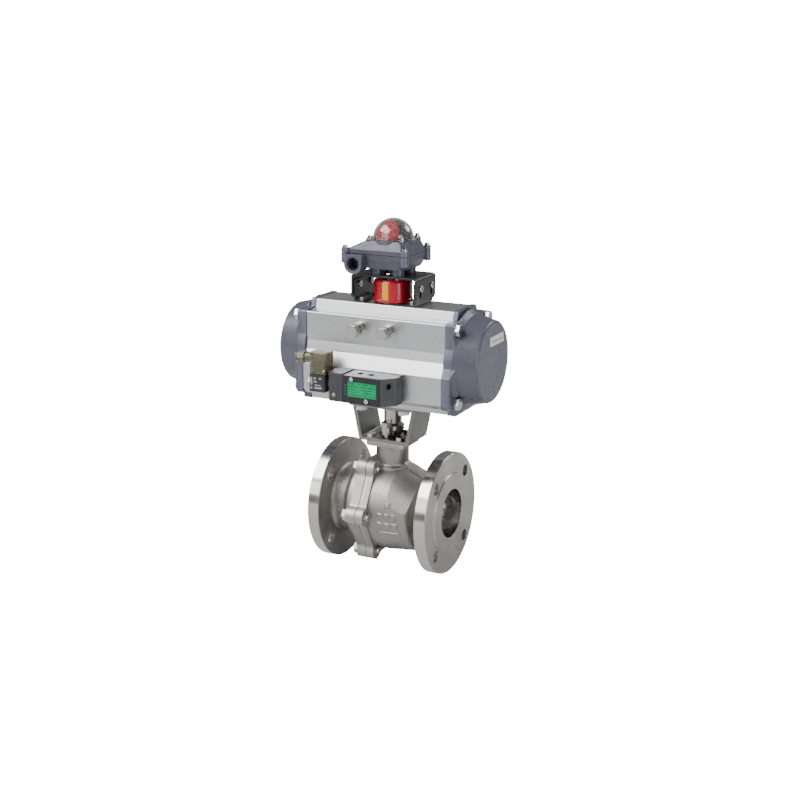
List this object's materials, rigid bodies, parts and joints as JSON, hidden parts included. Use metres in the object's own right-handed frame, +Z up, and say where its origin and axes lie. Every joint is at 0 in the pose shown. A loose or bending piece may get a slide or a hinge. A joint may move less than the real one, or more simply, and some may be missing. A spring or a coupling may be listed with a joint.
{
  "type": "pneumatic actuated ball valve",
  "caption": "Flanged quarter-turn ball valve with a bracket-mounted spring-return rack and pinion air actuator, side-mounted pilot valve and a domed limit switch box on top",
  "frame": {"origin": "centre of the raised face of the inlet flange, on the pipe's axis", "axes": "+X runs along the pipe from the inlet to the outlet, +Z runs up the stem, and the pilot valve is on the -Y side"},
  "size_m": [0.3306, 0.2135, 0.5458],
  "materials": {
    "cast_stainless": "bead-blasted investment casting with machined flange rims and faces",
    "gasket_dark": "moulded sheet",
    "ptfe": "moulded",
    "stainless_bolt": "plain stainless fasteners",
    "polished_ball": "lapped and polished",
    "stainless_bar": "turned bar",
    "dark_bolt": "black oxide",
    "bracket_stainless": "satin plate",
    "anodised_body": "extruded, satin anodised",
    "cap_grey": "die cast, powder coated slate grey",
    "nylon": "moulded bush",
    "spring_blue": "epoxy coated spring steel",
    "cast_aluminium": "die cast",
    "seal_rubber": "moulded ring",
    "pilot_black": "black anodised",
    "pilot_cover": "moulded",
    "label_dark": "plain dark plate",
    "label_green": "plain printed green field",
    "coil_black": "moulded over the winding",
    "smoke_clear": "smoky see-through plastic",
    "insert_dark": "moulded terminal insert",
    "button_steel": "turned",
    "cup_red": "moulded",
    "stripe_yellow": "printed bar",
    "black_steel": "powder coated black",
    "beacon_red": "moulded",
    "beacon_black": "moulded",
    "dome_clear": "clear plastic dome",
    "switch_parts": "moulded"
  },
  "bodies": {
    "housing": {"valve_body": "cast_stainless", "end_cap": "cast_stainless", "body_gasket": "gasket_dark", "seat_rings": "ptfe", "body_bolts": "stainless_bolt", "stem_seals": "ptfe", "gland_ring": "stainless_bar", "mounting_bracket": "bracket_stainless", "bracket_bolts": "stainless_bolt", "actuator_body": "anodised_body", "actuator_cap_left": "cap_grey", "actuator_cap_right": "cap_grey", "cap_seals": "seal_rubber", "cap_bolts": "stainless_bolt", "pinion_bushes": "nylon", "stop_bolts": "stainless_bolt", "springs_left": "spring_blue", "springs_right": "spring_blue", "pilot_gaskets": "seal_rubber", "pilot_body": "pilot_black", "pilot_end_cover": "pilot_cover", "pilot_label_plate": "label_dark", "pilot_label": "label_green", "pilot_screws": "stainless_bolt", "pilot_coil": "coil_black", "pilot_tube": "stainless_bar", "connector_housing": "smoke_clear", "connector_insert": "insert_dark", "connector_screw": "stainless_bolt", "cable_gland": "smoke_clear", "switch_bracket": "black_steel", "switch_bracket_feet": "black_steel", "switch_bracket_screws": "stainless_bolt", "switch_box_body": "cap_grey", "switch_box_gasket": "seal_rubber", "switch_box_cover": "cap_grey", "switch_box_screws": "stainless_bolt", "microswitches_and_terminals": "switch_parts", "beacon_dome": "dome_clear"},
    "drive_train": {"ball": "polished_ball", "stem": "stainless_bar", "stem_nut_and_spring": "stainless_bar", "stop_plate": "stainless_bar", "stop_plate_bolt": "dark_bolt", "coupling": "stainless_bar", "pinion": "stainless_bar", "pinion_ring_and_screw": "stainless_bolt", "indicator_cup": "cup_red", "indicator_stripe": "stripe_yellow", "switch_shaft": "stainless_bar", "switch_cams": "switch_parts", "beacon_red": "beacon_red", "beacon_black": "beacon_black"},
    "right_piston": {"piston_right": "cast_aluminium", "piston_seal_right": "seal_rubber"},
    "left_piston": {"piston_left": "cast_aluminium", "piston_seal_left": "seal_rubber"},
    "pilot_spool": {"spool": "stainless_bar"},
    "pilot_armature": {"armature": "stainless_bar"},
    "pilot_override": {"override_button": "button_steel"}
  },
  "joints": [
    {"name": "stem_turn", "type": "hinge", "parent": "housing", "child": "drive_train", "pos_m": [0.1016, 0, 0], "axis": [0, 0, 1], "range_deg": [0, 90], "stiffness_Nm_per_rad": 25, "springref_deg": -134.65},
    {"name": "right_piston_slide", "type": "slide", "parent": "housing", "child": "right_piston", "axis": [1, 0, 0], "range_m": [0, 0.0316], "deforming": ["springs_right"]},
    {"name": "left_piston_slide", "type": "slide", "parent": "housing", "child": "left_piston", "axis": [-1, 0, 0], "range_m": [0, 0.0316], "deforming": ["springs_left"]},
    {"name": "spool_slide", "type": "slide", "parent": "housing", "child": "pilot_spool", "axis": [1, 0, 0], "range_m": [0, 0.005], "stiffness_N_per_m": 800, "springref_m": -0.006},
    {"name": "armature_slide", "type": "slide", "parent": "housing", "child": "pilot_armature", "axis": [-1, 0, 0], "range_m": [0, 0.0012], "stiffness_N_per_m": 500, "springref_m": -0.004},
    {"name": "override_push", "type": "slide", "parent": "housing", "child": "pilot_override", "axis": [0, 1, 0], "range_m": [0, 0.0015], "stiffness_N_per_m": 400, "springref_m": -0.003}
  ],
  "couplings": [
    {"joint": "right_piston_slide", "follows": "stem_turn", "m_per_rad": 0.02},
    {"joint": "left_piston_slide", "follows": "stem_turn", "m_per_rad": 0.02}
  ]
}
